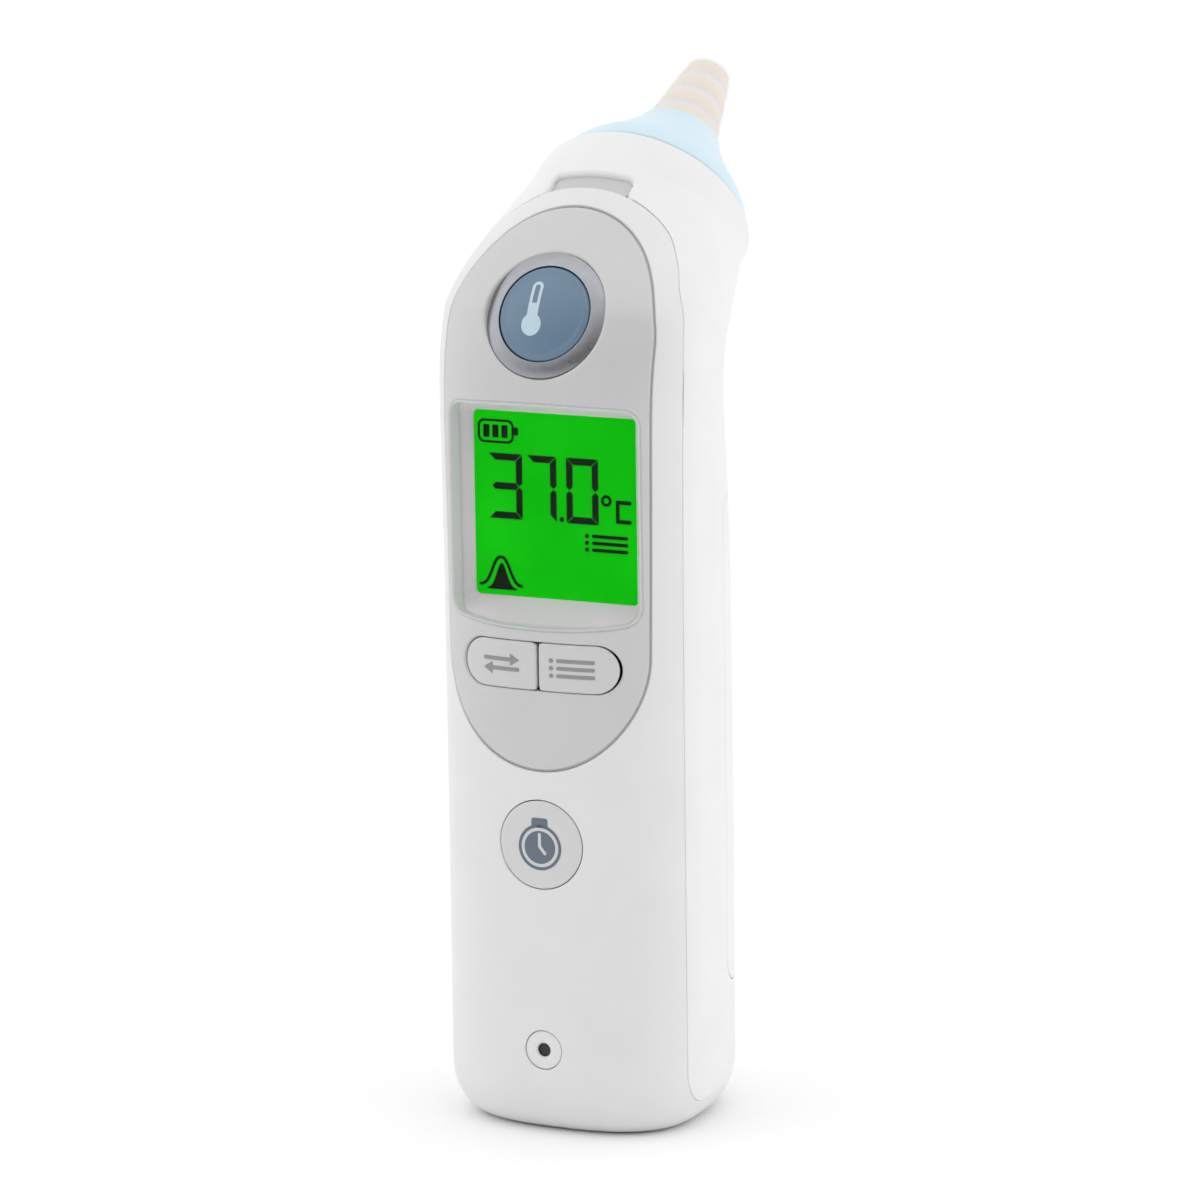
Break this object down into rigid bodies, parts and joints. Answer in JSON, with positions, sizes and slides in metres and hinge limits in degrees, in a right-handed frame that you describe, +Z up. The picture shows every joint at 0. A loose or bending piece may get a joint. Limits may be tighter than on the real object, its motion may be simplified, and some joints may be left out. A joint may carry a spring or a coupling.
{
  "type": "digital ear thermometer",
  "caption": "Hand-held digital ear thermometer with a bent head, a covered probe, a lit display, press keys, a probe cover ejector and a rear battery door.",
  "frame": {"origin": "on the flat base, below the middle of the handle", "axes": "+Z up along the handle, -Y out of the front with its display and keys, +X to the right side of the front"},
  "size_m": [0.04, 0.0631, 0.1514],
  "materials": {
    "shell_white": "satin moulded",
    "panel_grey": "satin",
    "key_grey": "satin",
    "measure_blue": "satin",
    "ring_metallic": "metallic paint",
    "window_clear": "clear",
    "lcd_green": "backlit",
    "lamp_white": "diffusing",
    "light_guide": "translucent",
    "cover_blue": "thin translucent",
    "nose_beige": "satin",
    "inner_plastic": "satin",
    "black_plastic": "matt",
    "plunger_amber": "matt",
    "board_green": "solder mask",
    "strip_rubber": "matt",
    "steel": "bright",
    "gold": "bright",
    "cell_jacket": "printed film"
  },
  "bodies": {
    "root": {"battery_cell_left": "cell_jacket", "battery_cell_right": "cell_jacket", "battery_tray": "black_plastic", "buzzer": "black_plastic", "contact_plate_left": "steel", "contact_plate_right": "steel", "contact_spring_left": "steel", "contact_spring_right": "steel", "contact_strip": "strip_rubber", "display_frame": "panel_grey", "display_window": "window_clear", "ejector_spring": "steel", "front_housing": "shell_white", "front_panel": "panel_grey", "key_board": "board_green", "lcd_backlight": "lamp_white", "lcd_glass": "lcd_green", "main_board": "board_green", "measure_ring": "ring_metallic", "measure_switch": "black_plastic", "memory_switch": "black_plastic", "probe_nose": "nose_beige", "processor": "black_plastic", "rear_housing": "shell_white", "release_guide": "black_plastic", "release_spring": "steel", "screw_left_high": "steel", "screw_left_low": "steel", "screw_right_high": "steel", "screw_right_low": "steel", "sensor_cable": "gold", "sensor_can": "steel", "sensor_socket": "lamp_white", "status_led": "lamp_white", "status_light": "light_guide", "timer_switch": "black_plastic", "unit_switch": "black_plastic", "wave_guide": "gold"},
    "ejector": {"ejector_collar": "inner_plastic", "ejector_button": "key_grey"},
    "cover": {"probe_cover": "cover_blue"},
    "measure_key": {"measure_button": "measure_blue", "measure_plunger": "plunger_amber"},
    "unit_key": {"unit_button": "key_grey", "unit_plunger": "plunger_amber"},
    "memory_key": {"memory_button": "key_grey", "memory_plunger": "plunger_amber"},
    "timer_key": {"timer_button": "key_grey", "timer_plunger": "plunger_amber"},
    "release_key": {"release_button": "key_grey", "release_bar": "black_plastic"},
    "door": {"battery_door": "shell_white"}
  },
  "joints": [
    {"name": "measure_press", "type": "slide", "parent": "root", "child": "measure_key", "axis": [0, 0.91, -0.4147], "range_m": [0, 0.0008], "stiffness_N_per_m": 500, "springref_m": -0.0006},
    {"name": "unit_press", "type": "slide", "parent": "root", "child": "unit_key", "axis": [0, 1, 0], "range_m": [0, 0.0006], "stiffness_N_per_m": 500, "springref_m": -0.0006},
    {"name": "memory_press", "type": "slide", "parent": "root", "child": "memory_key", "axis": [0, 1, 0], "range_m": [0, 0.0006], "stiffness_N_per_m": 500, "springref_m": -0.0006},
    {"name": "timer_press", "type": "slide", "parent": "root", "child": "timer_key", "axis": [0, 1, 0], "range_m": [0, 0.0006], "stiffness_N_per_m": 500, "springref_m": -0.0006},
    {"name": "release_press", "type": "slide", "parent": "root", "child": "release_key", "axis": [0, 1, 0], "range_m": [0, 0.0015], "stiffness_N_per_m": 600, "springref_m": -0.001, "deforming": ["release_spring"]},
    {"name": "ejector_push", "type": "slide", "parent": "root", "child": "ejector", "axis": [0, 0.7891, 0.6143], "range_m": [0, 0.003], "stiffness_N_per_m": 300, "springref_m": -0.002, "deforming": ["ejector_spring"]},
    {"name": "cover_pull_off", "type": "slide", "parent": "ejector", "child": "cover", "axis": [0, 0.7891, 0.6143], "range_m": [0, 0.034]},
    {"name": "door_swing", "type": "hinge", "parent": "root", "child": "door", "pos_m": [0, 0.0224, 0.0922], "axis": [1, 0, 0], "range_deg": [0, 50]}
  ]
}
